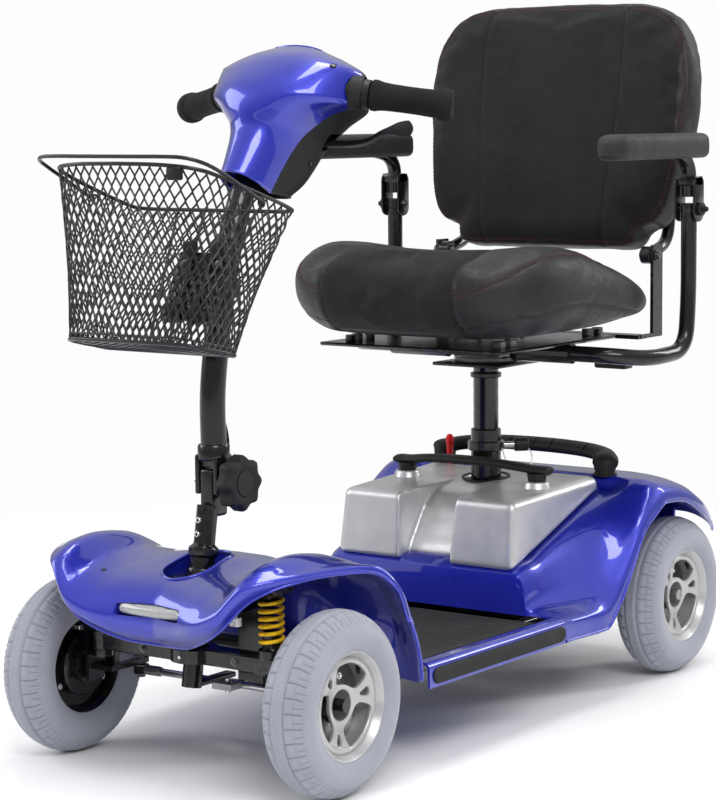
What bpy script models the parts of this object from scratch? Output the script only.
"""Four-wheel mobility scooter: frame, running gear, steering, covers, battery pack and seat.

Metres, +Z up, ground at z = 0. The scooter drives towards -Y, so +X is its left side.
Places are measured from the ground point under the front axle. Each moving body hangs on
an empty at its joint. Measured outlines are tables in millimetres.
"""
import math

import bmesh
import bpy
from mathutils import Vector

# ---------------------------------------------------------------- driving dimensions
WHEELBASE = 0.818          # front axle to rear axle
AXLE_SHIFT = 0.3895        # world origin to front axle, measured forward (-Y)
WHEEL_R = 0.1125           # tyre radius
TRACK_HALF = 0.204         # wheel centre plane from the mid-plane
KINGPIN_X, KINGPIN_Y = 0.150, -0.005
LEAN = math.radians(9.4)   # steering axis leans back
STEER_Y0 = -0.0318         # steering axis meets the ground here
AXLE_ARM_X = 0.095         # trailing arms of the front axle
AXLE_PIVOT_Y, AXLE_PIVOT_Z = 0.115, 0.140
SPRING_X = 0.118
TIE_ROD_Y = 0.068
KNOB_Y, KNOB_Z = 0.035, 0.358              # tiller hinge
THROTTLE_Y = 0.228
CONSOLE_Y, CONSOLE_Z = 0.2490, 0.8490      # row of controls on the head
CONTROL_X = 0.040                          # key and horn from the mid-plane
BAIL_X, BAIL_Y, BAIL_Z = 0.1315, -0.028, 0.702    # ends of the basket handle
POST_Y = 0.652                             # seat post
SOCKET_X, SOCKET_Y, SOCKET_Z = 0.150, 0.640, 0.472    # mouth of the armrest sockets
ARM_X = 0.250
ARM_HINGE_Y, ARM_HINGE_Z = 0.788, 0.668
BACK_Y, BACK_Z = 0.812, 0.600              # backrest hinge
RECLINE = math.radians(9.0)
LEVER_X, LEVER_Y, LEVER_Z = -0.119, 0.738, 0.200      # freewheel lever pivot

COVER_WALL = 0.003
SMOOTH_ANGLE = math.radians(35)
SIDES = (("left", 1), ("right", -1))

for old in list(bpy.data.objects):
    bpy.data.objects.remove(old, do_unlink=True)

parts = bpy.data.collections.new("mobility_scooter")
cutters = bpy.data.collections.new("cutters")
bpy.context.scene.collection.children.link(parts)
bpy.context.scene.collection.children.link(cutters)


# ---------------------------------------------------------------- materials
def material(name, rgb, roughness, metallic=0.0):
    mat = bpy.data.materials.new(name)
    mat.use_nodes = True
    shader = mat.node_tree.nodes["Principled BSDF"]
    shader.inputs["Base Color"].default_value = (*rgb, 1)
    shader.inputs["Roughness"].default_value = roughness
    shader.inputs["Metallic"].default_value = metallic
    return mat


BLUE = material("blue_paint", rgb=(0.012, 0.022, 0.36), roughness=0.22, metallic=0.35)
BLACK = material("black_paint", rgb=(0.012, 0.012, 0.014), roughness=0.28)
SILVER = material("silver_paint", rgb=(0.55, 0.55, 0.55), roughness=0.36, metallic=0.6)
STEEL = material("steel", rgb=(0.6, 0.6, 0.62), roughness=0.25, metallic=1.0)
RUBBER = material("black_rubber", rgb=(0.018, 0.018, 0.019), roughness=0.75)
TYRE = material("grey_tyre", rgb=(0.36, 0.39, 0.45), roughness=0.8)
PLASTIC = material("black_plastic", rgb=(0.02, 0.02, 0.021), roughness=0.5)
LENS = material("clear_lens", rgb=(0.75, 0.76, 0.74), roughness=0.12)
YELLOW = material("yellow_coat", rgb=(0.72, 0.48, 0.02), roughness=0.35)
RED = material("red_plastic", rgb=(0.55, 0.012, 0.012), roughness=0.35)
FABRIC = material("black_fabric", rgb=(0.03, 0.03, 0.031), roughness=0.85)

# ---------------------------------------------------------------- bodies as empties on joints
ROOT = bpy.data.objects.new("scooter_origin", None)
ROOT.location = (0, -AXLE_SHIFT, 0)
parts.objects.link(ROOT)
AT = {"chassis": Vector((0, 0, 0))}
EMPTY = {"chassis": ROOT}


def body(name, at):
    pivot = bpy.data.objects.new(name + "_pivot", None)
    pivot.parent = ROOT
    pivot.location = at
    parts.objects.link(pivot)
    EMPTY[name], AT[name] = pivot, Vector(at)


def steer_point(z):
    """The point of the steering axis at height z."""
    return Vector((0, STEER_Y0 + z * math.tan(LEAN), z))


for side, s in SIDES:
    body("knuckle_" + side, (s * KINGPIN_X, KINGPIN_Y, WHEEL_R))
    body("front_wheel_" + side, (s * TRACK_HALF, 0, WHEEL_R))
    body("rear_wheel_" + side, (s * TRACK_HALF, WHEELBASE, WHEEL_R))
    body("arm_post_" + side, (s * SOCKET_X, SOCKET_Y, SOCKET_Z))
    body("arm_rest_" + side, (s * ARM_X, ARM_HINGE_Y, ARM_HINGE_Z))
body("front_axle", (0, AXLE_PIVOT_Y, AXLE_PIVOT_Z))
body("tie_rod", (KINGPIN_X, TIE_ROD_Y, 0.100))
body("column", steer_point(0.2))
body("tiller", (0, KNOB_Y, KNOB_Z))
body("knob", (0.045, KNOB_Y, KNOB_Z))
body("throttle", (0, THROTTLE_Y, 0.767))
body("dial", (0, CONSOLE_Y, CONSOLE_Z))
body("key", (CONTROL_X, CONSOLE_Y, CONSOLE_Z))
body("horn", (-CONTROL_X, CONSOLE_Y, CONSOLE_Z))
body("bail", (0, BAIL_Y, BAIL_Z))
body("seat_post", (0, POST_Y, 0.300))
body("seat", (0, POST_Y, 0.460))
body("swivel_lever", (0.050, 0.717, 0.4745))
body("backrest", (0, BACK_Y, BACK_Z))
body("freewheel", (LEVER_X, LEVER_Y, LEVER_Z))


# ---------------------------------------------------------------- solids
def finish(obj, body_name, mat):
    """Joins an object to its body, gives it its material and smooth shading."""
    cutters.objects.unlink(obj)
    parts.objects.link(obj)
    obj.parent = EMPTY[body_name]
    obj.location = Vector(obj.location) - AT[body_name]
    obj.data.materials.clear()
    obj.data.materials.append(mat)
    obj.data.shade_smooth()
    obj.data.set_sharp_from_angle(angle=SMOOTH_ANGLE)


def new_object(name, data, location=(0, 0, 0)):
    obj = bpy.data.objects.new(name, data)
    obj.location = location
    cutters.objects.link(obj)
    return obj


def raw_mesh(name, bm):
    mesh = bpy.data.meshes.new(name)
    bm.to_mesh(mesh)
    bm.free()
    return mesh


def mesh_object(name, bm, location=(0, 0, 0)):
    bmesh.ops.recalc_face_normals(bm, faces=bm.faces)
    return new_object(name, raw_mesh(name, bm), location)


def bevel_edges(obj, width, segments):
    mod = obj.modifiers.new("edge", "BEVEL")
    mod.width, mod.segments, mod.limit_method = width, segments, "ANGLE"
    return mod


def box(name, low, high, bevel=0.0, segments=1):
    low, high = Vector(low), Vector(high)
    bm = bmesh.new()
    bmesh.ops.create_cube(bm, size=1)
    bmesh.ops.scale(bm, vec=high - low, verts=bm.verts)
    obj = mesh_object(name, bm, (low + high) / 2)
    if bevel:
        bevel_edges(obj, bevel, segments)
    return obj


def side_box(name, s, low, high, bevel=0.0):
    """A box given for the left side (s = 1), or its mirror place on the right (s = -1)."""
    x0, x1 = sorted((s * low[0], s * high[0]))
    return box(name, (x0, *low[1:]), (x1, *high[1:]), bevel)


def wedge(corners):
    """A bmesh block, {(back, up) as -1 or 1: (y, z, half width)} at its four side corners."""
    bm = bmesh.new()
    bmesh.ops.create_cube(bm, size=2)
    for v in bm.verts:
        y, z, half_width = corners[(round(v.co.y), round(v.co.z))]
        v.co = (math.copysign(half_width, v.co.x), y, z)
    return bm


def cylinder(name, radius, start, end, sides=16, end_radius=None):
    start, end = Vector(start), Vector(end)
    bm = bmesh.new()
    bmesh.ops.create_cone(bm, cap_ends=True, segments=sides, radius1=radius,
                          radius2=radius if end_radius is None else end_radius,
                          depth=(end - start).length)
    obj = mesh_object(name, bm, (start + end) / 2)
    obj.rotation_euler = (end - start).to_track_quat("Z", "Y").to_euler()
    return obj


def upright(name, radius, x, y, bottom, top, sides=16):
    return cylinder(name, radius, (x, y, bottom), (x, y, top), sides)


def across(name, radius, x0, x1, y, z, sides=16):
    return cylinder(name, radius, (x0, y, z), (x1, y, z), sides)


def on_axis(name, radius, bottom, top, sides=16):
    """A cylinder along the steering axis between two heights."""
    return cylinder(name, radius, steer_point(bottom), steer_point(top), sides)


def to_mesh(obj):
    """Turns an object with its modifiers, or a curve, into a plain welded mesh object."""
    bpy.context.view_layer.update()
    depsgraph = bpy.context.evaluated_depsgraph_get()
    mesh = bpy.data.meshes.new_from_object(obj.evaluated_get(depsgraph))
    bm = bmesh.new()
    bm.from_mesh(mesh)
    bmesh.ops.remove_doubles(bm, verts=bm.verts, dist=0.00002)
    bmesh.ops.recalc_face_normals(bm, faces=bm.faces)
    if bm.calc_volume(signed=True) < 0:
        bmesh.ops.reverse_faces(bm, faces=bm.faces)
    bm.to_mesh(mesh)
    bm.free()
    name = obj.name
    solid = bpy.data.objects.new(name + "_solid", mesh)
    solid.matrix_world = obj.matrix_world.copy()
    cutters.objects.link(solid)
    bpy.data.objects.remove(obj, do_unlink=True)
    solid.name = name
    return solid


def wire(name, points, radius, resolution):
    """A round section swept along a polyline, with closed ends."""
    data = bpy.data.curves.new(name, "CURVE")
    data.dimensions = "3D"
    data.bevel_depth, data.bevel_resolution, data.use_fill_caps = radius, resolution, True
    spline = data.splines.new("POLY")
    spline.points.add(len(points) - 1)
    for target, point in zip(spline.points, points):
        target.co = (*point, 1)
    return to_mesh(new_object(name, data))


def rounded(points, radius, steps):
    """A polyline with each inner corner replaced by a short arc of points."""
    points = [Vector(p) for p in points]
    out = [points[0]]
    for before, corner, after in zip(points, points[1:], points[2:]):
        u, v = (before - corner).normalized(), (after - corner).normalized()
        reach = min(radius, (before - corner).length * 0.49, (after - corner).length * 0.49)
        p, q = corner + u * reach, corner + v * reach
        for i in range(steps + 1):
            t = i / steps
            out.append(p * (1 - t) ** 2 + corner * 2 * t * (1 - t) + q * t * t)
    out.append(points[-1])
    return out


def pipe(name, points, radius, bend=0.03, steps=3):
    """A round tube along a polyline with rounded corners."""
    return wire(name, rounded(points, bend, steps), radius, 1)


def both_sides(half):
    """A path across the mid-plane: the given half, then its mirror image back out."""
    return half + [(-x, y, z) for x, y, z in reversed(half)]


def add_booleans(target, others, kind):
    for other in others:
        mod = target.modifiers.new(kind.lower(), "BOOLEAN")
        mod.operation, mod.solver, mod.object = kind, "EXACT", other


def bake_booleans(target, others, kind):
    add_booleans(target, others, kind)
    result = to_mesh(target)
    for other in others:
        bpy.data.objects.remove(other, do_unlink=True)
    return result


def join(name, first, *others):
    """Boolean union of several solids, made into one mesh."""
    result = bake_booleans(first, others, "UNION")
    result.name = name
    result.data.name = name
    return result


def cut_now(target, *tools):
    """Boolean difference, made into one mesh."""
    return bake_booleans(target, tools, "DIFFERENCE")


def cut(target, *tools):
    """Boolean difference kept as modifiers, with the cutters hidden in their collection."""
    add_booleans(target, tools, "DIFFERENCE")
    for tool in tools:
        tool.parent = ROOT
        tool.hide_render = True
        tool.display_type = "WIRE"
    return target


def turned(name, profile, axis, location):
    """A turned solid from a closed profile of (radius, height along the axis) pairs."""
    bm = bmesh.new()
    verts = [bm.verts.new((r, 0, z)) for r, z in profile]
    for a, b in zip(verts, verts[1:]):
        bm.edges.new((a, b))
    bm.edges.new((verts[-1], verts[0]))
    obj = new_object(name, raw_mesh(name, bm), location)
    mod = obj.modifiers.new("turn", "SCREW")
    mod.steps = mod.render_steps = 24
    mod.use_merge_vertices = True
    mod.merge_threshold = 0.00005
    obj.rotation_euler = Vector(axis).to_track_quat("Z", "Y").to_euler()
    return to_mesh(obj)


def sheet(name, grid, wall, mirror=False, flip=False):
    """An open surface through a grid of points, thickened to a shell."""
    bm = bmesh.new()
    verts = [[bm.verts.new(p) for p in row] for row in grid]
    for a, b in zip(verts, verts[1:]):
        for i in range(len(a) - 1):
            face = (a[i], b[i], b[i + 1], a[i + 1])
            bm.faces.new(tuple(reversed(face)) if flip else face)
    obj = new_object(name, raw_mesh(name, bm))
    if mirror:
        obj.modifiers.new("mirror", "MIRROR").merge_threshold = 0.00005
    mod = obj.modifiers.new("wall", "SOLIDIFY")
    mod.thickness, mod.offset, mod.use_even_offset = wall, -1.0, False
    return obj


def resampled(outline, count):
    """The outline's (y, z) pairs respaced to count points, even by length."""
    points = [Vector((0, y, z)) for y, z in outline]
    reach = [0]
    for a, b in zip(points, points[1:]):
        reach.append(reach[-1] + (b - a).length)
    out = []
    for i in range(count):
        t = reach[-1] * i / (count - 1)
        k = max(j for j in range(len(reach) - 1) if reach[j] <= t + 1e-9)
        f = (t - reach[k]) / (reach[k + 1] - reach[k])
        out.append(points[k].lerp(points[k + 1], min(f, 1)))
    return out


# ---------------------------------------------------------------- front cover
# Left half in mm, x: (y, z) pairs from under the nose, over the top, down to the rear edge.
FRONT_COVER = {
    0: [(-66, 170), (-80, 182), (-86, 200), (-82, 220), (-68, 238), (-45, 249),
        (-10, 258), (35, 268), (80, 264), (118, 240), (140, 195), (150, 134)],
    40: [(-76, 173), (-90, 186), (-96, 203), (-92, 220), (-76, 237), (-50, 249),
         (-12, 258), (34, 267), (80, 263), (118, 239), (141, 194), (151, 134)],
    80: [(-92, 186), (-104, 197), (-108, 209), (-101, 223), (-84, 238), (-54, 250),
         (-14, 258), (34, 263), (80, 258), (119, 235), (144, 190), (155, 132)],
    115: [(-100, 206), (-110, 214), (-112, 223), (-104, 236), (-85, 248), (-55, 257),
          (-15, 264), (34, 266), (82, 256), (122, 230), (149, 186), (160, 128)],
    150: [(-85, 243), (-93, 250), (-97, 258), (-89, 268), (-73, 277), (-48, 284),
          (-12, 287), (38, 282), (86, 264), (126, 231), (154, 184), (163, 118)],
    185: [(-46, 262), (-51, 265), (-51, 268), (-46, 271), (-36, 273), (-18, 275.5),
          (8, 278), (45, 276), (86, 262), (125, 231), (153, 182), (163, 112)],
    200: [(-6, 265.5), (-10, 267.5), (-10, 270), (-6, 272), (2, 273), (14, 274),
          (34, 274), (60, 270.5), (90, 257), (122, 227), (150, 179), (160, 112)],
    215: [(58, 262), (56, 264.5), (57, 267), (60, 268.5), (64, 269), (69, 268.5),
          (76, 267), (86, 262), (98, 250), (118, 222), (145, 175), (155, 112)],
    232: [(96, 236), (95, 238.5), (95.5, 240), (97, 241), (99, 240.5), (102, 238),
          (106, 233), (111, 226), (117, 215), (128, 193), (142, 160), (147, 114)],
    237: [(110, 196), (109.6, 197.5), (109.6, 199), (110.5, 199.5), (112, 198.5),
          (114, 196), (116.5, 192), (119.5, 187), (123, 180), (129, 166), (136, 145),
          (140, 118)],
}
# round-ended slot the steering stem passes through
SLOT_R, SLOT_FRONT, SLOT_BACK = 0.031, -0.018, 0.022
SLOT_BOTTOM, SLOT_TOP = 0.15, 0.32

cover_grid = [[(x / 1000, p.y / 1000, p.z / 1000) for p in resampled(outline, 10)]
              for x, outline in FRONT_COVER.items()]
cover = to_mesh(sheet("front_cover", cover_grid, COVER_WALL, mirror=True))
stem_slot = join("stem_slot",
                 upright("front_end", SLOT_R, 0, SLOT_FRONT, SLOT_BOTTOM, SLOT_TOP),
                 upright("back_end", SLOT_R, 0, SLOT_BACK, SLOT_BOTTOM, SLOT_TOP),
                 box("middle", (-SLOT_R, SLOT_FRONT, SLOT_BOTTOM), (SLOT_R, SLOT_BACK, SLOT_TOP)))
lamp_slot = box("lamp_slot", (-0.046, -0.12, 0.2045), (0.046, -0.05, 0.2215))
finish(cut(cover, stem_slot, lamp_slot), "chassis", BLUE)
finish(box("headlight_lens", (-0.0455, -0.0985, 0.2050), (0.0455, -0.0800, 0.2210), 0.004),
       "chassis", LENS)

# ---------------------------------------------------------------- floor
# Left half of the floor pan section, (x, z) in mm, and the y of its stations in mm.
FLOOR_SECTION = [(0, 122), (196, 122), (203, 125), (212, 134), (224, 134), (231, 128), (232, 102)]
FLOOR_STATIONS = (163.5, 270, 380, 486.5)

floor_grid = [[(x / 1000, y / 1000, z / 1000) for x, z in FLOOR_SECTION]
              for y in FLOOR_STATIONS]
finish(sheet("floor_pan", floor_grid, COVER_WALL, mirror=True, flip=True), "chassis", BLUE)
finish(box("floor_mat", (-0.186, 0.170, 0.1224), (0.186, 0.480, 0.1264), 0.001),
       "chassis", RUBBER)
for side, s in SIDES:
    finish(side_box("skirt_trim_" + side, s, (0.2326, 0.171, 0.106), (0.2356, 0.484, 0.1265),
                    0.001), "chassis", RUBBER)

# ---------------------------------------------------------------- rear cover
# Left half in mm, (y, [(x, z), ...]) with each section running from the mid-plane outwards.
REAR_COVER = [
    (488.0, [(0, 131), (100, 131), (147, 131), (158, 131), (164.5, 131),
             (168, 131), (186, 132.5), (212, 134), (230, 129), (232, 104)]),
    (490.0, [(0, 184), (100, 184), (147, 184), (159, 178), (165, 160),
             (168, 142), (186, 134), (212, 134), (230, 129), (232, 104)]),
    (540.0, [(0, 202), (100, 202), (147, 202), (162, 194), (173, 172),
             (182, 154), (199, 141), (217, 136), (233, 128), (235, 104)]),
    (584.0, [(0, 218), (100, 218), (147, 218), (164, 208), (182, 184),
             (197, 164), (213, 150), (228, 141), (238, 128), (240, 106)]),
    (645.0, [(0, 240), (100, 240), (147, 240), (168, 233), (192, 217),
             (212, 205), (228, 196), (237, 188), (240, 178), (240, 168)]),
    (715.0, [(0, 265.5), (100, 265.5), (147, 265.5), (172, 268), (196, 271),
             (214, 271), (228, 268), (236, 262), (239, 252), (240, 244)]),
    (733.0, [(0, 272), (100, 272), (147, 272), (172, 278), (196, 284),
             (214, 284), (228, 279), (236, 270), (239, 261), (240, 254)]),
    (745.0, [(0, 288), (100, 288), (147, 288), (172, 288), (196, 289),
             (214, 287), (228, 282), (236, 274), (239, 265), (240, 258)]),
    (822.0, [(0, 286), (100, 286), (147, 285), (172, 283), (196, 280),
             (214, 275), (228, 269), (236, 261), (239, 253), (240, 246)]),
    (858.0, [(0, 275), (100, 275), (147, 274), (172, 272), (194, 268),
             (211, 262), (225, 254), (234, 246), (237, 237), (238, 229)]),
    (920.0, [(0, 232), (100, 232), (147, 231), (172, 230), (187, 227),
             (200, 222), (211, 215), (218, 209), (221, 203), (222, 197)]),
    (928.0, [(0, 218), (100, 218), (147, 217.5), (172, 217), (186, 215),
             (198, 211), (208, 206), (214, 201), (217, 196), (218, 192)]),
]

rear_grid = [[(x / 1000, y / 1000, z / 1000) for x, z in section] for y, section in REAR_COVER]
rear = join("rear_cover",
            to_mesh(sheet("rear_cover", rear_grid, COVER_WALL, mirror=True, flip=True)),
            box("rear_panel", (-0.158, 0.9195, 0.120), (0.158, 0.9265, 0.222), 0.002))
finish(cut(rear, box("pack_opening", (-0.134, 0.503, 0.14), (0.134, 0.722, 0.40)),
           box("lever_slot", (-0.1255, 0.7310, 0.20), (-0.0860, 0.7450, 0.40))),
       "chassis", BLUE)

# ---------------------------------------------------------------- frame
frame = join("main_frame",
             box("spine", (-0.025, 0.106, 0.084), (0.025, 0.765, 0.112), 0.003),
             box("riser", (-0.021, 0.104, 0.086), (0.021, 0.127, 0.204), 0.002),
             box("web", (-0.0175, 0.006, 0.190), (0.0175, 0.112, 0.2265)),
             on_axis("head_tube", 0.020, 0.182, 0.246, 14),
             box("spring_bar", (-0.136, -0.022, 0.2365), (0.136, 0.018, 0.2445), 0.002),
             across("axle_pivot", 0.010, -0.1085, 0.1085, AXLE_PIVOT_Y, AXLE_PIVOT_Z, 12),
             *[side_box("rail", s, (0.142, 0.170, 0.098), (0.164, 0.765, 0.114), 0.002)
               for _, s in SIDES],
             *[box("cross_bar", (-0.160, y, 0.0995), (0.160, y + 0.025, 0.1125))
               for y in (0.180, 0.470, 0.735)],
             box("tray", (-0.132, 0.506, 0.110), (0.132, 0.722, 0.1165)),
             box("tower", (-0.030, 0.726, 0.105), (0.030, 0.732, 0.168)),
             box("shelf", (-0.058, 0.726, 0.164), (0.058, 0.850, 0.168)))
finish(cut_now(frame, on_axis("bore", 0.0129, 0.10, 0.26, 14)), "chassis", BLACK)

# seat post receiver with its flange, collar and side pin
PIN_Z = 0.333
receiver = join("seat_post_receiver",
                upright("tube", 0.0215, 0, POST_Y, 0.120, 0.357),
                upright("flange", 0.030, 0, POST_Y, 0.1170, 0.123),
                upright("collar", 0.026, 0, POST_Y, 0.326, 0.340),
                cylinder("pin", 0.006, (0.015, POST_Y + 0.01, PIN_Z),
                         (0.040, POST_Y + 0.036, PIN_Z), 8),
                cylinder("pin_head", 0.010, (0.034, POST_Y + 0.030, PIN_Z),
                         (0.044, POST_Y + 0.040, PIN_Z), 8))
finish(cut_now(receiver, upright("bore", 0.0184, 0, POST_Y, 0.124, 0.40)), "chassis", BLACK)

# ---------------------------------------------------------------- battery pack
# (back, up): (y, z, half width) at the corners of the box and of the space inside it
PACK_OUTER = {(-1, -1): (0.4898, 0.1865, 0.147), (-1, 1): (0.502, 0.279, 0.141),
              (1, -1): (0.727, 0.272, 0.145), (1, 1): (0.725, 0.290, 0.140)}
PACK_INNER = {(-1, -1): (0.505, 0.150, 0.134), (-1, 1): (0.520, 0.275, 0.132),
              (1, -1): (0.722, 0.150, 0.134), (1, 1): (0.721, 0.284, 0.133)}
HANDLE_X, HANDLE_Y = 0.109, 0.613      # feet of the carrying handle
TERMINAL_Y = 0.6

pack = mesh_object("battery_box", wedge(PACK_OUTER))
bevel_edges(pack, 0.011, 3)
pack = to_mesh(pack)
hollow = mesh_object("pack_hollow", wedge(PACK_INNER))
channel = join("pack_channel", box("front_groove", (-0.048, 0.470, 0.17), (0.048, 0.4975, 0.30)),
               cylinder("top_groove", 0.040, (0, 0.470, 0.322), (0, 0.640, 0.322)))
domes = [cylinder("dome", 0.020, (s * HANDLE_X, HANDLE_Y, 0.283),
                  (s * HANDLE_X, HANDLE_Y, 0.2935), 14, 0.017) for _, s in SIDES]
pack = join("battery_box", cut_now(pack, channel), *domes)
finish(cut_now(pack, hollow, upright("post_hole", 0.0275, 0, POST_Y, 0.2, 0.32)),
       "chassis", SILVER)

for side, s in SIDES:
    battery = join("battery_" + side,
                   side_box("case", s, (0.030, 0.520, 0.1170), (0.128, 0.671, 0.205), 0.003),
                   *[upright("terminal", 0.006, s * x, TERMINAL_Y, 0.20, 0.211, 8)
                     for x in (0.045, 0.113)])
    finish(battery, "chassis", PLASTIC)

handle = join("battery_handle",
              pipe("bar", both_sides([(-0.124, 0.616, 0.3175), (-0.075, 0.604, 0.322)]),
                   0.0105, 0.04, 2),
              *[upright("leg", 0.0135, s * HANDLE_X, HANDLE_Y, 0.2939, 0.318, 12)
                for _, s in SIDES])
finish(handle, "chassis", PLASTIC)

# lifting handle on the rear cover, its legs trimmed flat just above the cover
LIFT_PATH = [(-0.139, 0.742, 0.310), (-0.120, 0.775, 0.3225), (-0.05, 0.792, 0.325)]
lift = join("rear_lift_handle",
            pipe("bar", both_sides(LIFT_PATH), 0.0115, 0.03, 2),
            *[upright("leg", 0.0145, s * 0.137, 0.7525, 0.2895, 0.312, 12) for _, s in SIDES])
finish(cut_now(lift, box("foot_trim", (-0.2, 0.70, 0.25), (0.2, 0.80, 0.2907))),
       "chassis", PLASTIC)

lever = join("freewheel_lever",
             upright("stick", 0.0042, LEVER_X, LEVER_Y, LEVER_Z, 0.331, 8),
             cylinder("pivot", 0.009, (LEVER_X, LEVER_Y - 0.008, LEVER_Z),
                      (LEVER_X, LEVER_Y + 0.008, LEVER_Z), 12))
finish(lever, "freewheel", RED)

# ---------------------------------------------------------------- drive
MOTOR_Y, MOTOR_Z = 0.886, 0.128

transaxle = join("transaxle",
                 across("gear_case", 0.043, -0.034, 0.034, WHEELBASE, WHEEL_R),
                 across("axle_tube", 0.020, -0.156, 0.156, WHEELBASE, WHEEL_R, 14),
                 across("axle_shaft", 0.0076, -0.222, 0.222, WHEELBASE, WHEEL_R, 12),
                 box("right_lug", (-0.128, 0.798, 0.120), (-0.110, 0.838, 0.150), 0.002))
finish(transaxle, "chassis", SILVER)
motor = join("drive_motor", across("can", 0.030, -0.010, 0.115, MOTOR_Y, MOTOR_Z),
             across("end_cap", 0.032, -0.026, -0.010, MOTOR_Y, MOTOR_Z))
finish(cut_now(motor, across("case_clearance", 0.0436, -0.06, 0.06, WHEELBASE, WHEEL_R, 22)),
       "chassis", BLACK)
finish(box("controller", (-0.050, 0.742, 0.1684), (0.050, 0.842, 0.206), 0.004),
       "chassis", STEEL)

# ---------------------------------------------------------------- front axle
axle_parts = []
for _, s in SIDES:
    kingpin, spring, arm = s * KINGPIN_X, s * SPRING_X, s * AXLE_ARM_X
    axle_parts += [
        upright("kingpin_boss", 0.0125, kingpin, KINGPIN_Y, 0.1385, 0.1615, 14),
        upright("spring_seat", 0.0165, spring, KINGPIN_Y, 0.158, 0.168, 14),
        upright("spigot", 0.0095, spring, KINGPIN_Y, 0.166, 0.190, 10),
        box("arm", (arm - 0.008, 0.0, 0.132), (arm + 0.008, AXLE_PIVOT_Y, 0.148)),
        across("arm_eye", 0.0165, arm - 0.010, arm + 0.010, AXLE_PIVOT_Y, AXLE_PIVOT_Z, 14)]
beam = join("front_axle_beam",
            box("beam", (-0.140, -0.019, 0.140), (0.140, 0.009, 0.160), 0.002),
            upright("middle_boss", 0.030, 0, -0.006, 0.142, 0.158), *axle_parts)
axle_holes = [cylinder("stem_hole", 0.0205, (0, -0.008, 0.12), (0, -0.006, 0.18), 14)]
for _, s in SIDES:
    arm = s * AXLE_ARM_X
    axle_holes += [
        upright("kingpin_hole", 0.0064, s * KINGPIN_X, KINGPIN_Y, 0.12, 0.18, 12),
        across("pivot_hole", 0.0104, arm - 0.02, arm + 0.02, AXLE_PIVOT_Y, AXLE_PIVOT_Z, 12)]
finish(cut_now(beam, *axle_holes), "front_axle", BLACK)

# ---------------------------------------------------------------- springs
COIL_R, COIL_WIRE_R = 0.0137, 0.0023
COIL_TURNS, COIL_STEPS = 6, 7          # turns, and points per turn
COIL_BOTTOM, COIL_TOP = 0.1710, 0.2335

for side, s in SIDES:
    coil = []
    for i in range(COIL_TURNS * COIL_STEPS + 1):
        angle = 2 * math.pi * i / COIL_STEPS
        coil.append((s * SPRING_X + COIL_R * math.cos(angle),
                     KINGPIN_Y + COIL_R * math.sin(angle),
                     COIL_BOTTOM + (COIL_TOP - COIL_BOTTOM) * i / (COIL_TURNS * COIL_STEPS)))
    finish(wire("spring_" + side, coil, COIL_WIRE_R, 0), "chassis", YELLOW)

# ---------------------------------------------------------------- knuckles
FORK_FRONT, FORK_BACK = KINGPIN_Y - 0.0120, KINGPIN_Y + 0.0120
FORK_IN, FORK_OUT = KINGPIN_X + 0.0140, KINGPIN_X + 0.0190    # faces of the outer plate
STUB_X = KINGPIN_X + 0.0160                                   # inner end of the stub axle
STEER_ARM_Z0, STEER_ARM_Z1 = 0.1065, 0.1130

for side, s in SIDES:
    k = s * KINGPIN_X
    knuckle = join(
        "knuckle_" + side,
        upright("top_boss", 0.0125, k, KINGPIN_Y, 0.1625, 0.1685, 14),
        upright("bottom_boss", 0.0125, k, KINGPIN_Y, 0.1290, 0.1375, 14),
        upright("kingpin", 0.0060, k, KINGPIN_Y, 0.1290, 0.1685, 12),
        side_box("top_plate", s, (KINGPIN_X, FORK_FRONT, 0.1630), (FORK_OUT, FORK_BACK, 0.1680)),
        side_box("low_plate", s, (KINGPIN_X, FORK_FRONT, 0.1300), (FORK_OUT, FORK_BACK, 0.1370)),
        side_box("outer_plate", s, (FORK_IN, FORK_FRONT, 0.0960), (FORK_OUT, 0.0120, 0.1680)),
        across("stub_axle", 0.0080, s * STUB_X, s * 0.2240, 0, WHEEL_R, 12),
        across("stub_shoulder", 0.0135, s * STUB_X, s * 0.1740, 0, WHEEL_R, 12),
        side_box("arm_root", s, (KINGPIN_X - 0.006, 0.004, STEER_ARM_Z0),
                 (KINGPIN_X + 0.0180, 0.014, STEER_ARM_Z1)),
        side_box("steering_arm", s, (KINGPIN_X - 0.006, 0.004, STEER_ARM_Z0),
                 (KINGPIN_X + 0.006, 0.076, STEER_ARM_Z1)),
        upright("rod_pin", 0.0050, k, TIE_ROD_Y, 0.0880, 0.1090, 8))
    finish(knuckle, "knuckle_" + side, BLACK)

# ---------------------------------------------------------------- tie rod
ROD_Z = 0.0980
PITMAN_Y = steer_point(0.100).y + 0.073    # pin of the column's pitman arm

rod_ends = []
for _, s in SIDES:
    rod_ends += [upright("eye", 0.0100, s * KINGPIN_X, TIE_ROD_Y, 0.0920, 0.1040, 14),
                 across("neck", 0.0065, s * 0.142, s * 0.118, TIE_ROD_Y, ROD_Z, 8)]
tie_rod = join("tie_rod", across("rod", 0.0045, -0.145, 0.145, TIE_ROD_Y, ROD_Z, 8),
               box("lug", (-0.0150, 0.0440, 0.0940), (0.0150, 0.0765, 0.1020)), *rod_ends)
finish(cut_now(tie_rod,
               *[upright("eye_hole", 0.0055, s * KINGPIN_X, TIE_ROD_Y, 0.08, 0.12, 8)
                 for _, s in SIDES],
               upright("pitman_hole", 0.0095, 0, PITMAN_Y, 0.08, 0.12, 12)),
       "tie_rod", STEEL)

# ---------------------------------------------------------------- wheels
TYRE_HALF_W = 0.034
TYRE_BULGE = 0.0295        # radial half size of the oval tyre section
TYRE_ARC, TYRE_STEPS = 280, 8    # the section spans 280 degrees, centred on the tread
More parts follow.
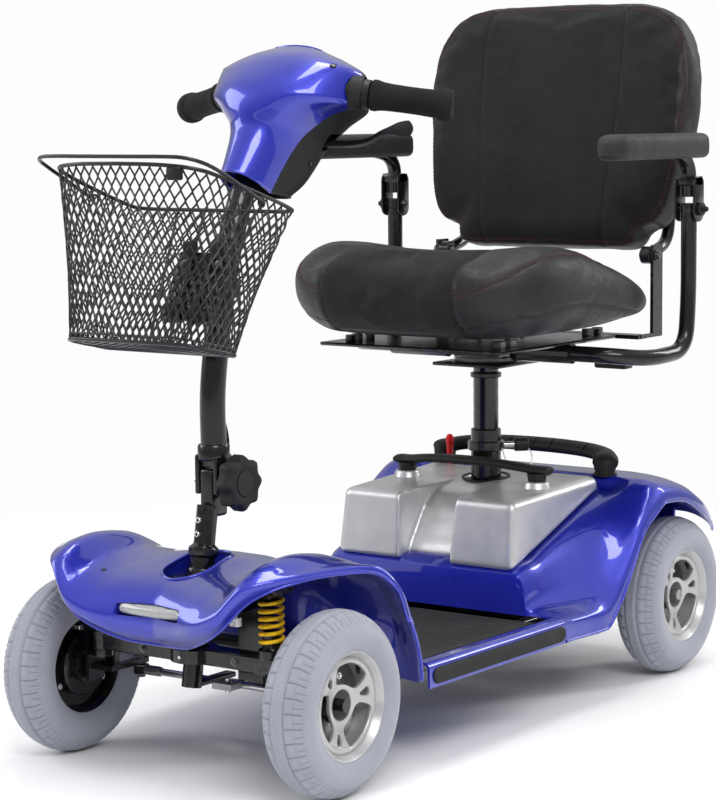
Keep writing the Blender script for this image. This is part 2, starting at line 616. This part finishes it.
# (radius, offset outwards from the wheel centre plane)
RIM_PROFILE = [
    (0.0180, 0.0205), (0.0590, 0.0205), (0.0600, 0.0245), (0.0562, 0.0150),
    (0.0562, -0.0150), (0.0600, -0.0245), (0.0540, -0.0180), (0.0540, -0.0060),
    (0.0200, -0.0060), (0.0200, -0.0270), (0.0084, -0.0270), (0.0084, 0.0205)]

tyre_angles = [math.radians(TYRE_ARC / 2 - TYRE_ARC * i / TYRE_STEPS)
               for i in range(TYRE_STEPS + 1)]
tyre_profile = [(WHEEL_R - TYRE_BULGE + TYRE_BULGE * math.cos(a), TYRE_HALF_W * math.sin(a))
                for a in tyre_angles]
for end in ("front", "rear"):
    for side, s in SIDES:
        wheel = f"{end}_wheel_{side}"
        finish(turned(f"tyre_{end}_{side}", tyre_profile, (s, 0, 0), AT[wheel]), wheel, TYRE)
        finish(turned(f"rim_{end}_{side}", RIM_PROFILE, (s, 0, 0), AT[wheel]), wheel, SILVER)

# ---------------------------------------------------------------- steering column
HINGE_HALF = 0.016         # half size of the hinge ears along Y

column = join("steering_column",
              on_axis("stem", 0.0125, 0.108, 0.331, 14),
              on_axis("head_collar", 0.0185, 0.2475, 0.262),
              on_axis("upper_collar", 0.0165, 0.270, 0.284),
              on_axis("bottom_collar", 0.0185, 0.110, 0.118, 14),
              box("pitman_arm", (-0.008, steer_point(0.112).y, 0.1085),
                  (0.008, PITMAN_Y + 0.007, 0.1150), 0.001),
              upright("pitman_pin", 0.0050, 0, PITMAN_Y, 0.088, 0.1110, 8),
              box("ear", (-0.0100, KNOB_Y - HINGE_HALF, 0.318),
                  (0.0100, KNOB_Y + HINGE_HALF, 0.374), 0.005, 2))
# four short studs, two at the front of the stem and two at the back
for direction in (-1, 1):
    for z in (0.300, 0.318):
        base = steer_point(z)
        tip = base + Vector((0, direction * 0.017, 0))
        column = join("steering_column", column, cylinder("stud", 0.0035, base, tip, 8))
finish(cut_now(column, across("hinge_hole", 0.0054, -0.03, 0.03, KNOB_Y, KNOB_Z, 12)),
       "column", BLACK)

# ---------------------------------------------------------------- tiller
TUBE_PATH = [(0, 0.036, 0.396), (0, 0.036, 0.470), (0, 0.052, 0.565), (0, 0.073, 0.645),
             (0, 0.104, 0.715), (0, 0.150, 0.775), (0, 0.178, 0.812)]
TUBE_BEND = 0.05

tube = join("tiller_tube", pipe("tube", TUBE_PATH, 0.0158, TUBE_BEND, 2),
            upright("sleeve", 0.0200, 0, 0.036, 0.384, 0.404, 14),
            *[side_box("cheek", s, (0.0108, KNOB_Y - HINGE_HALF, KNOB_Z - HINGE_HALF),
                       (0.0178, KNOB_Y + HINGE_HALF, 0.390), 0.002) for _, s in SIDES],
            across("hinge_bolt", 0.0050, -0.024, 0.030, KNOB_Y, KNOB_Z, 12),
            across("nut", 0.0090, -0.026, -0.0170, KNOB_Y, KNOB_Z, 8))
finish(tube, "tiller", BLACK)

KNOB_R, KNOB_LOBES = 0.0270, 8
lobes = []
for i in range(KNOB_LOBES):
    angle = 2 * math.pi * i / KNOB_LOBES
    out = Vector((0, math.cos(angle) * KNOB_R, math.sin(angle) * KNOB_R))
    lobes.append(cylinder("lobe", 0.0080, Vector((0.0340, KNOB_Y, KNOB_Z)) + out,
                          Vector((0.0540, KNOB_Y, KNOB_Z)) + out, 8))
knob = join("tiller_knob", across("core", KNOB_R, 0.0320, 0.0560, KNOB_Y, KNOB_Z, 20),
            across("hub", 0.0130, 0.0240, 0.0340, KNOB_Y, KNOB_Z, 14), *lobes)
finish(cut_now(knob, across("bolt_hole", 0.0054, 0.010, 0.0320, KNOB_Y, KNOB_Z, 12)),
       "knob", PLASTIC)

# ---------------------------------------------------------------- head covers
# Stations from the bottom up, in mm: the side seam both covers share, as
# (half width, y, z), and the mid-plane line of each cover, as (y, z).
SEAM = [(30, 118, 708), (34, 136, 735), (38, 150, 755), (46, 164, 775), (72, 190, 802),
        (100, 208, 815), (101, 214, 850), (72, 217, 868), (36, 218, 881)]
FRONT_LINE = [(71, 736), (84, 757), (95, 777), (103, 795), (104, 812), (112, 836),
              (138, 862), (168, 880), (200, 889)]
BACK_LINE = [(181, 699), (208, 712), (234, 735), (252, 758), (268, 780), (270, 800),
             (256, 835), (240, 862), (224, 884)]
HEAD_POINTS = 11           # across each station
HEAD_WALL = 0.0025
SEAM_SHIFT = 0.6           # mm along Y from the seam to each cover's edge
BAR_IN, BAR_OUT = Vector((0.100, 0.205, 0.829)), Vector((0.207, 0.252, 0.812))


def head_grid(centre_line, power, shift):
    """Stations bulging from the seam to the centre line; a lower power is a fuller curve."""
    rows = []
    for (half_width, seam_y, seam_z), (y, z) in zip(SEAM, centre_line):
        row = []
        for i in range(HEAD_POINTS):
            u = -1 + 2 * i / (HEAD_POINTS - 1)
            spread = abs(math.sin(math.pi * u / 2)) ** 0.9
            bulge = max(0.0, math.cos(math.pi * u / 2)) ** power
            row.append((math.copysign(half_width * spread, u) / 1000,
                        (seam_y + shift + (y - seam_y - shift) * bulge) / 1000,
                        (seam_z + (z - seam_z) * bulge) / 1000))
        rows.append(row)
    return rows


def bar_end(s):
    """Inner and outer point of one raked end of the handlebar, and its direction."""
    inner = Vector((s * BAR_IN.x, BAR_IN.y, BAR_IN.z))
    outer = Vector((s * BAR_OUT.x, BAR_OUT.y, BAR_OUT.z))
    return inner, outer, (outer - inner).normalized()


def bar_cutters():
    """Clearance for the two handlebar ends."""
    out = []
    for _, s in SIDES:
        inner, _outer, along = bar_end(s)
        out.append(cylinder("bar_hole", 0.0195, inner - along * 0.030, inner + along * 0.060, 14))
    return out


top_cover = to_mesh(sheet("head_top_cover", head_grid(FRONT_LINE, 0.9, -SEAM_SHIFT),
                          HEAD_WALL, flip=True))
finish(cut_now(top_cover, *bar_cutters()), "tiller", BLUE)
lower_cover = to_mesh(sheet("head_lower_cover", head_grid(BACK_LINE, 0.75, SEAM_SHIFT),
                            HEAD_WALL))
throttle_slot = box("throttle_slot", (-0.080, 0.2135, 0.7570), (0.080, 0.2430, 0.7780))
finish(cut_now(lower_cover, *bar_cutters(), throttle_slot), "tiller", PLASTIC)

# ---------------------------------------------------------------- head controls
# They stand on the sloping console that faces the rider.
CONSOLE_UP = Vector((0, 0.86, 0.51)).normalized()


def console_point(x, lift):
    return Vector((x, CONSOLE_Y, CONSOLE_Z)) + CONSOLE_UP * lift


foot = console_point(0, 0.0012)
dial = join("speed_dial",
            cylinder("cap", 0.0150, foot + CONSOLE_UP * 0.0020, foot + CONSOLE_UP * 0.0120),
            cylinder("shaft", 0.0080, foot, foot + CONSOLE_UP * 0.0040, 10))
finish(dial, "dial", PLASTIC)

foot = console_point(CONTROL_X, 0.0005)
key = join("key", cylinder("barrel", 0.0060, foot, foot + CONSOLE_UP * 0.0040, 10),
           box("blade", (foot.x - 0.0011, foot.y + 0.001, foot.z - 0.003),
               (foot.x + 0.0011, foot.y + 0.023, foot.z + 0.015)))
finish(key, "key", STEEL)

foot = console_point(-CONTROL_X, 0.0012)
finish(cylinder("horn_button", 0.0070, foot, foot + CONSOLE_UP * 0.0055, 12), "horn", RED)

# ---------------------------------------------------------------- handlebar and throttle
inner, outer, _ = bar_end(-1)
finish(pipe("handlebar", both_sides([outer, inner, (-0.060, 0.194, 0.8325)]), 0.0110, 0.02, 2),
       "tiller", BLACK)
for side, s in SIDES:
    inner, outer, along = bar_end(s)
    grip_end = outer + along * 0.0035
    grip = join("grip_" + side,
                cylinder("sleeve", 0.0170, inner + along * 0.018, grip_end, 14),
                cylinder("end_rim", 0.0190, outer - along * 0.006, grip_end, 14))
    bore = cylinder("bore", 0.0114, inner - along * 0.01, outer + along * 0.0005, 14)
    finish(cut_now(grip, bore), "tiller", RUBBER)

LEVER_PATH = [(0.0, THROTTLE_Y, 0.7675), (0.060, 0.230, 0.7655), (0.105, 0.214, 0.7680),
              (0.145, 0.196, 0.7800)]
LEVER_TIP_PATH = [(0.140, 0.198, 0.7785), (0.165, 0.192, 0.7830), (0.192, 0.190, 0.7835)]
throttle = join("throttle_lever",
                upright("hub", 0.0090, 0, THROTTLE_Y, 0.7600, 0.7750, 12),
                pipe("arm", LEVER_PATH, 0.0048),
                pipe("tip", LEVER_TIP_PATH, 0.0085, 0.01))
finish(throttle, "throttle", PLASTIC)

# ---------------------------------------------------------------- basket
# Left half rings in mm, (x, y, z), from the back middle round to the front middle.
BASKET_RIM = [(0, 47, 688), (90, 47, 688), (122, 40, 690), (126, 10, 700), (121, -60, 723),
              (112, -107, 739), (92, -126, 745), (45, -135, 748), (0, -137, 748.5)]
BASKET_FLOOR = [(0, -38, 522), (70, -38, 522), (98, -44, 523), (104, -60, 527),
                (103, -85, 532), (98, -112, 538), (84, -122, 541), (45, -127, 542),
                (0, -128, 542)]
FLOOR_CENTRE = (0, -83, 532)
WALL_STEPS = 3


def basket_rings():
    """Half rings: one on the floor halfway to its centre, then floor edge up to rim."""
    rings = [[tuple((a + c) / 2 / 1000 for a, c in zip(p, FLOOR_CENTRE)) for p in BASKET_FLOOR]]
    for k in range(WALL_STEPS + 1):
        t = k / WALL_STEPS
        rings.append([tuple((a + (b - a) * t) / 1000 for a, b in zip(p, q))
                      for p, q in zip(BASKET_FLOOR, BASKET_RIM)])
    return rings


def full_ring(half):
    return half + [(-x, y, z) for x, y, z in reversed(half[1:-1])]


bm = bmesh.new()
rings = [[bm.verts.new(p) for p in full_ring(half)] for half in basket_rings()]
bm.faces.new(list(reversed(rings[0])))
for a, b in zip(rings, rings[1:]):
    for i in range(len(a)):
        j = (i + 1) % len(a)
        bm.faces.new((a[i], a[j], b[j], b[i]))
basket = mesh_object("basket", bm)
mod = basket.modifiers.new("wall", "SOLIDIFY")
mod.thickness, mod.offset, mod.use_even_offset = 0.003, 1.0, False
finish(to_mesh(basket), "tiller", BLACK)

# bracket between the tube and the sloping back wall of the basket
plate = box("plate", (-0.040, -0.00175, -0.045), (0.040, 0.00175, 0.045))
plate.location = (0, 0.0070, 0.5975)
plate.rotation_euler = (-math.radians(27.1), 0, 0)
bracket = join("basket_bracket",
               cylinder("clamp", 0.0210, (0, 0.0560, 0.582), (0, 0.0622, 0.606), 14),
               box("arm", (-0.012, 0.0095, 0.586), (0.012, 0.0500, 0.602), 0.001),
               plate)
finish(cut_now(bracket, pipe("tube_clearance", TUBE_PATH, 0.0163, TUBE_BEND, 2)),
       "tiller", BLACK)

BAIL_PATH = [(BAIL_X, BAIL_Y, BAIL_Z), (0.1300, -0.080, 0.728), (0.1240, -0.128, 0.7500),
             (0.105, -0.1455, 0.7560), (0.05, -0.1495, 0.7570)]
finish(pipe("basket_handle", both_sides(BAIL_PATH), 0.0022, 0.012, 2), "bail", BLACK)

# ---------------------------------------------------------------- seat post
post = join("seat_post", upright("tube", 0.0180, 0, POST_Y, 0.235, 0.452),
            box("top_plate", (-0.055, POST_Y - 0.055, 0.449), (0.055, POST_Y + 0.055, 0.454),
                0.002))
# two cross holes, one above the other
finish(cut(post, across("pc", 0.004, -0.05, 0.05, POST_Y, 0.385, 8),
           across("pd", 0.004, -0.05, 0.05, POST_Y, 0.415, 8)), "seat_post", BLACK)

# ---------------------------------------------------------------- seat pan
pan_parts = [upright("swivel", 0.045, 0, POST_Y, 0.4545, 0.470, 20),
             box("swivel_block", (-0.060, 0.592, 0.466), (0.060, 0.716, 0.4850), 0.002),
             box("back_bar", (-0.185, 0.762, 0.4836), (0.185, 0.786, 0.4894))]
for _, s in SIDES:
    pan_parts += [
        across("arm_socket", 0.0145, s * 0.055, s * SOCKET_X, SOCKET_Y, SOCKET_Z, 14),
        side_box("bracket_foot", s, (0.1812, 0.768, 0.4842), (0.1862, 0.829, 0.4898)),
        side_box("hinge_bracket", s, (0.1808, 0.803, 0.4850), (0.1858, 0.830, 0.6150))]
for x in (-0.12, 0.12):
    for y in (0.49, 0.75):
        pan_parts.append(upright("cushion_stud", 0.007, x, y, 0.487, 0.4975, 8))
pan = join("seat_pan", box("plate", (-0.150, 0.457, 0.4840), (0.150, 0.792, 0.4890), 0.002),
           *pan_parts)
pan = cut_now(pan,
              *[across("socket_bore", 0.0114, s * 0.062, s * 0.2, SOCKET_Y, SOCKET_Z, 14)
                for _, s in SIDES],
              across("hinge_holes", 0.0064, -0.25, 0.25, BACK_Y, BACK_Z, 12),
              box("lever_notch", (0.040, 0.700, 0.4650), (0.080, 0.730, 0.4830)))
finish(pan, "seat", BLACK)

SWIVEL_PATH = [(0.050, 0.7095, 0.4745), (0.085, 0.722, 0.4725), (0.125, 0.722, 0.462),
               (0.190, 0.712, 0.452)]
swivel_lever = join("swivel_lever", pipe("rod", SWIVEL_PATH, 0.0040, 0.02),
                    box("paddle", (0.150, 0.704, 0.447), (0.196, 0.726, 0.4575), 0.003))
finish(swivel_lever, "swivel_lever", BLACK)

# ---------------------------------------------------------------- seat cushion
CUSHION_HALF_W = 0.215
# (back, up): (y, z, half width)
CUSHION = {(-1, -1): (0.394, 0.505, CUSHION_HALF_W), (-1, 1): (0.394, 0.622, CUSHION_HALF_W),
           (1, -1): (0.780, 0.498, CUSHION_HALF_W), (1, 1): (0.780, 0.594, CUSHION_HALF_W)}
CROWN_YS = (0.60, 0.46)    # added edge loops that bound the flat middle
CROWN_BOTTOM, CROWN_TOP = 0.498, 0.624

bm = wedge(CUSHION)
for y in CROWN_YS:
    bmesh.ops.bisect_plane(bm, geom=bm.verts[:] + bm.edges[:] + bm.faces[:],
                           plane_co=(0, y, 0), plane_no=(0, 1, 0))
for v in bm.verts:
    if any(abs(v.co.y - y) < 0.001 for y in CROWN_YS):
        v.co.z = CROWN_TOP if v.co.z > 0.55 else CROWN_BOTTOM
cushion = mesh_object("seat_cushion", bm)
bevel_edges(cushion, 0.032, 3).angle_limit = math.radians(40)
finish(cushion, "seat", FABRIC)

# ---------------------------------------------------------------- backrest
# Left half outline in mm, (x, height up the back) from bottom middle to top middle.
# The lower corners are stepped back to clear the hinge brackets.
BACK_OUTLINE = [(0, 0), (142, 0), (158, 10), (158, 35), (190, 35), (208, 46), (215, 85),
                (220, 132), (224, 190), (225, 238), (219, 283), (203, 323), (176, 350),
                (140, 364), (90, 369), (0, 370)]
BACK_EDGE = 0.0135         # rounding of the cushion's rim
HINGE = Vector((0, BACK_Y, BACK_Z))
BACK_UP = Vector((0, math.sin(RECLINE), math.cos(RECLINE)))
BACK_FORWARD = Vector((0, -math.cos(RECLINE), math.sin(RECLINE)))
FRAME_X, FRAME_TOP = 0.171, 0.250
FRAME_DEPTH = -0.0560      # frame tube behind the hinge


def back_point(x, height, forward):
    """A point on the backrest, measured from its hinge line."""
    q = HINGE + BACK_UP * height + BACK_FORWARD * forward
    return (x, q.y, q.z)


# the cushion is a flat outline stood up on the recline angle
data = bpy.data.curves.new("backrest_cushion", "CURVE")
data.dimensions, data.fill_mode, data.extrude = "2D", "BOTH", 0.0155
data.bevel_depth, data.bevel_resolution, data.offset = BACK_EDGE, 1, -BACK_EDGE
spline = data.splines.new("POLY")
outline = BACK_OUTLINE[:-1] + [(-x, y) for x, y in reversed(BACK_OUTLINE[1:-1])]
spline.points.add(len(outline) - 1)
for point, (x, y) in zip(spline.points, outline):
    point.co = (x / 1000, y / 1000, 0, 1)
spline.use_cyclic_u = True
back = new_object("backrest_cushion", data, HINGE + BACK_UP * 0.002 + BACK_FORWARD * -0.016)
back.rotation_euler = (math.radians(90) - RECLINE, 0, 0)
finish(to_mesh(back), "backrest", FABRIC)

frame_path = both_sides([back_point(-FRAME_X, 0.004, -0.010),
                         back_point(-FRAME_X, 0.024, FRAME_DEPTH),
                         back_point(-FRAME_X, FRAME_TOP, FRAME_DEPTH)])
frame_parts = [pipe("hoop", frame_path, 0.0085, 0.018, 2)]
for _, s in SIDES:
    frame_parts += [
        across("hinge_pin", 0.0060, s * 0.164, s * 0.1925, BACK_Y, BACK_Z, 12),
        across("hinge_boss", 0.0120, s * 0.1660, s * 0.1800, BACK_Y, BACK_Z, 12),
        cylinder("cushion_stud", 0.0060, back_point(s * 0.120, FRAME_TOP, FRAME_DEPTH),
                 back_point(s * 0.120, FRAME_TOP, -0.0456), 8)]
finish(join("backrest_frame", *frame_parts), "backrest", BLACK)

# ---------------------------------------------------------------- armrests
LINK_FRONT, LINK_BACK, LINK_BOTTOM, LINK_TOP = 0.774, 0.802, 0.652, 0.712
PLATE_IN, PLATE_OUT = (0.2340, 0.2370), (0.2630, 0.2660)    # x of the two link plates
ARM_TUBE_Z = 0.7375

for side, s in SIDES:
    x = s * ARM_X
    post_path = [(s * 0.080, SOCKET_Y, SOCKET_Z), (s * 0.205, SOCKET_Y, SOCKET_Z),
                 (s * 0.243, 0.690, 0.465), (x, 0.780, 0.470),
                 (x, ARM_HINGE_Y, 0.540), (x, ARM_HINGE_Y, 0.686)]
    arm_post = join("arm_post_" + side, pipe("tube", post_path, 0.0108, 0.045))
    hinge_hole = across("aph", 0.0054, x - 0.03, x + 0.03, ARM_HINGE_Y, ARM_HINGE_Z, 10)
    finish(cut(arm_post, hinge_hole), "arm_post_" + side, BLACK)

    tube_path = [(x, ARM_HINGE_Y, 0.706), (x, 0.782, 0.735), (x, 0.740, ARM_TUBE_Z),
                 (x, 0.610, ARM_TUBE_Z)]
    link = join("arm_link_" + side,
                *[side_box("plate", s, (x0, LINK_FRONT, LINK_BOTTOM), (x1, LINK_BACK, LINK_TOP),
                           0.001) for x0, x1 in (PLATE_OUT, PLATE_IN)],
                side_box("bridge", s, (PLATE_IN[0], 0.776, 0.700), (PLATE_OUT[1], 0.800, 0.714),
                         0.001),
                across("hinge_pin", 0.0050, s * 0.2325, s * 0.2690, ARM_HINGE_Y, ARM_HINGE_Z, 10),
                pipe("tube", tube_path, 0.0090))
    # the tube is trimmed flat under the pad
    link = cut_now(link, box("pad_trim", (x - 0.03, 0.55, 0.7385), (x + 0.03, 0.83, 0.76)))
    finish(link, "arm_rest_" + side, BLACK)
    finish(box("arm_pad_" + side, (x - 0.0225, 0.556, 0.7388), (x + 0.0225, 0.815, 0.7735),
               0.009, 2), "arm_rest_" + side, RUBBER)
